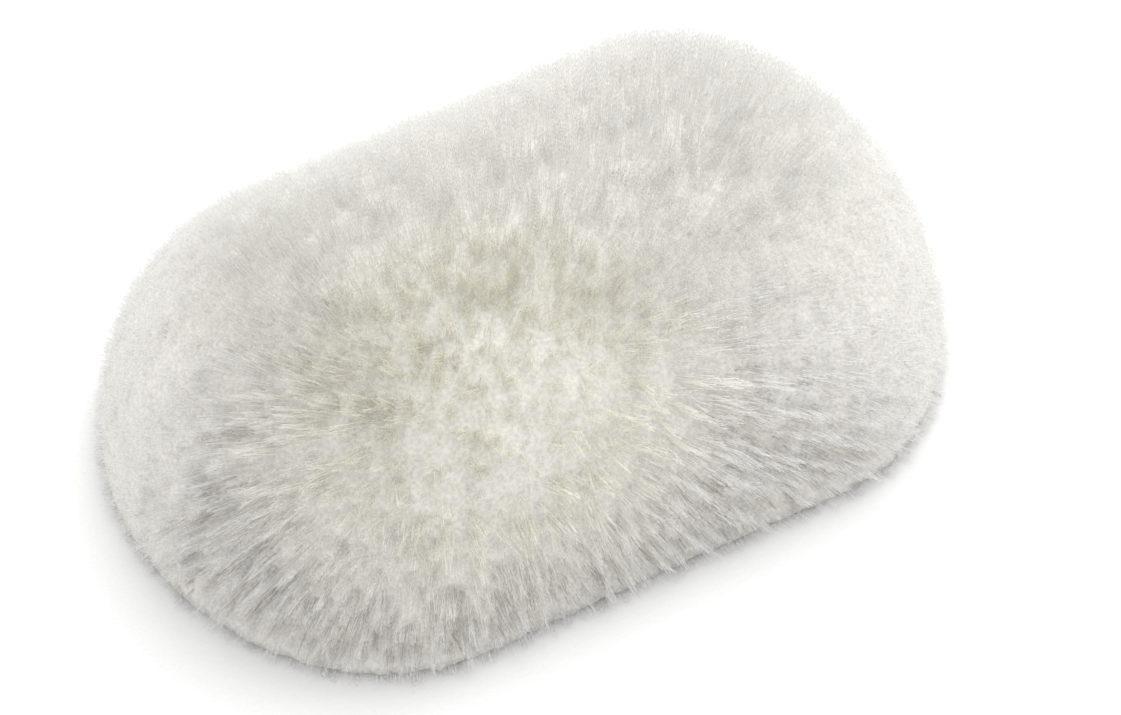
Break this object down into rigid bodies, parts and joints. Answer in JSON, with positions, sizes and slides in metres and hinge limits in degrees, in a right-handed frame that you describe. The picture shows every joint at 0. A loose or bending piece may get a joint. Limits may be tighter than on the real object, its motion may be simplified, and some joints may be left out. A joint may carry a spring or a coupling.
{
  "type": "bee brush head",
  "caption": "Soft bee brush head: a flat-backed crowned wooden block set with fanned tufts of fine crimped nylon that form a long rounded dome, with threaded inserts in the back.",
  "frame": {"origin": "centre of the block's flat back, on the plane the brush lies on", "axes": "+X along the brush, +Y across it, +Z out of the crown through the bristles"},
  "size_m": [0.2312, 0.1554, 0.0804],
  "materials": {
    "beech": "satin",
    "brass": "machined",
    "nylon_filament": "soft crimped filament, milky white",
    "staple_wire": "bright"
  },
  "bodies": {
    "root": {"block": "beech", "threaded_inserts": "brass", "tufts_centre_row": "nylon_filament", "tufts_ring_1_back": "nylon_filament", "tufts_ring_1_front": "nylon_filament", "tufts_ring_2_back": "nylon_filament", "tufts_ring_2_front": "nylon_filament", "tufts_ring_3_back": "nylon_filament", "tufts_ring_3_front": "nylon_filament", "tufts_ring_4_back": "nylon_filament", "tufts_ring_4_front": "nylon_filament", "tufts_ring_5_back": "nylon_filament", "tufts_ring_5_front": "nylon_filament", "anchors_centre_row": "staple_wire", "anchors_ring_1_back": "staple_wire", "anchors_ring_1_front": "staple_wire", "anchors_ring_2_back": "staple_wire", "anchors_ring_2_front": "staple_wire", "anchors_ring_3_back": "staple_wire", "anchors_ring_3_front": "staple_wire", "anchors_ring_4_back": "staple_wire", "anchors_ring_4_front": "staple_wire", "anchors_ring_5_back": "staple_wire", "anchors_ring_5_front": "staple_wire"}
  },
  "joints": []
}
